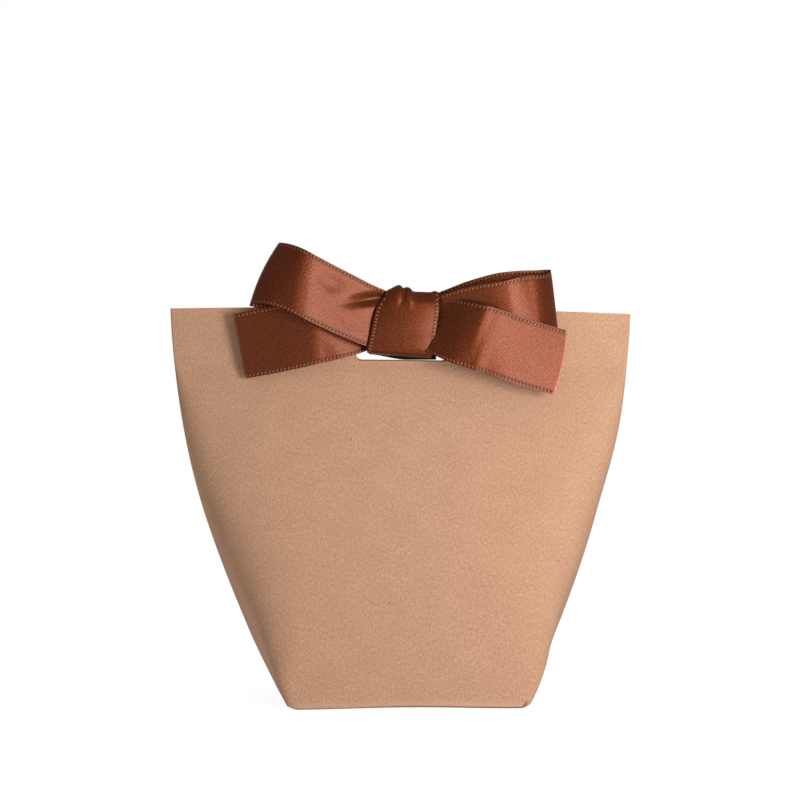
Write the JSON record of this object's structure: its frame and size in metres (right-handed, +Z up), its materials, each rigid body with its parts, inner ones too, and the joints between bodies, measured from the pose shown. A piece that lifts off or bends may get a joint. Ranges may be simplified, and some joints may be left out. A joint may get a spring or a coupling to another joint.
{
  "type": "paper gift bag",
  "caption": "Kraft card gift bag on a rectangular base, narrowing to a flat closed top that a satin ribbon bow ties shut through a slot.",
  "frame": {"origin": "on the floor, under the middle of the base", "axes": "+Z up, the front with the bow faces -Y, +X to the viewer's right"},
  "size_m": [0.165, 0.0854, 0.161],
  "materials": {
    "kraft_card": "uncoated brown kraft card",
    "satin_ribbon": "brown satin ribbon"
  },
  "bodies": {
    "bag": {"front_panel": "kraft_card", "back_panel": "kraft_card", "left_gusset_front": "kraft_card", "left_gusset_back": "kraft_card", "right_gusset_front": "kraft_card", "right_gusset_back": "kraft_card", "glue_tab": "kraft_card"},
    "base_front": {"base_front_flap": "kraft_card"},
    "base_back": {"base_back_flap": "kraft_card"},
    "dust_left": {"left_dust_flap": "kraft_card"},
    "dust_right": {"right_dust_flap": "kraft_card"},
    "bow": {"ribbon_band": "satin_ribbon", "bow_knot": "satin_ribbon"},
    "tail_left": {"left_tail": "satin_ribbon"},
    "loop_left": {"left_loop": "satin_ribbon"},
    "loop_right": {"right_loop": "satin_ribbon"},
    "tail_right": {"right_tail": "satin_ribbon"}
  },
  "joints": [
    {"name": "base_front_crease", "type": "hinge", "parent": "bag", "child": "base_front", "pos_m": [0, -0.0425, 0.00025], "axis": [-1, 0, 0], "range_deg": [0, 100]},
    {"name": "base_back_crease", "type": "hinge", "parent": "bag", "child": "base_back", "pos_m": [0, 0.0425, 0.00105], "axis": [1, 0, 0], "range_deg": [0, 95]},
    {"name": "dust_left_crease", "type": "hinge", "parent": "bag", "child": "dust_left", "pos_m": [-0.04, 0, 0.00185], "axis": [0, 1, 0], "range_deg": [0, 63]},
    {"name": "dust_right_crease", "type": "hinge", "parent": "bag", "child": "dust_right", "pos_m": [0.04, 0, 0.00185], "axis": [0, -1, 0], "range_deg": [0, 63]},
    {"name": "bow_slide", "type": "slide", "parent": "bag", "child": "bow", "axis": [1, 0, 0], "range_m": [-0.0025, 0.0025]},
    {"name": "tail_left_swing", "type": "hinge", "parent": "bow", "child": "tail_left", "pos_m": [-0.0095, -0.00325, 0.1335], "axis": [0.2425, 0, 0.9701], "range_deg": [0, 32], "stiffness_Nm_per_rad": 0.002},
    {"name": "loop_left_swing", "type": "hinge", "parent": "bow", "child": "loop_left", "pos_m": [-0.0096, -0.00685, 0.1331], "axis": [0.2425, 0, 0.9701], "range_deg": [0, 40], "stiffness_Nm_per_rad": 0.002},
    {"name": "loop_right_swing", "type": "hinge", "parent": "bow", "child": "loop_right", "pos_m": [0.01218, -0.00525, 0.1339], "axis": [-0.0707, 0, -0.9975], "range_deg": [0, 32], "stiffness_Nm_per_rad": 0.002},
    {"name": "tail_right_swing", "type": "hinge", "parent": "bow", "child": "tail_right", "pos_m": [0.01192, -0.00825, 0.1303], "axis": [-0.0707, 0, -0.9975], "range_deg": [0, 40], "stiffness_Nm_per_rad": 0.002}
  ],
  "couplings": [
    {"joint": "base_back_crease", "follows": "base_front_crease", "ratio": 0.95},
    {"joint": "dust_left_crease", "follows": "base_front_crease", "ratio": 0.63},
    {"joint": "dust_right_crease", "follows": "base_front_crease", "ratio": 0.63},
    {"joint": "tail_left_swing", "follows": "loop_left_swing", "ratio": 0.8},
    {"joint": "loop_right_swing", "follows": "tail_right_swing", "ratio": 0.8}
  ]
}
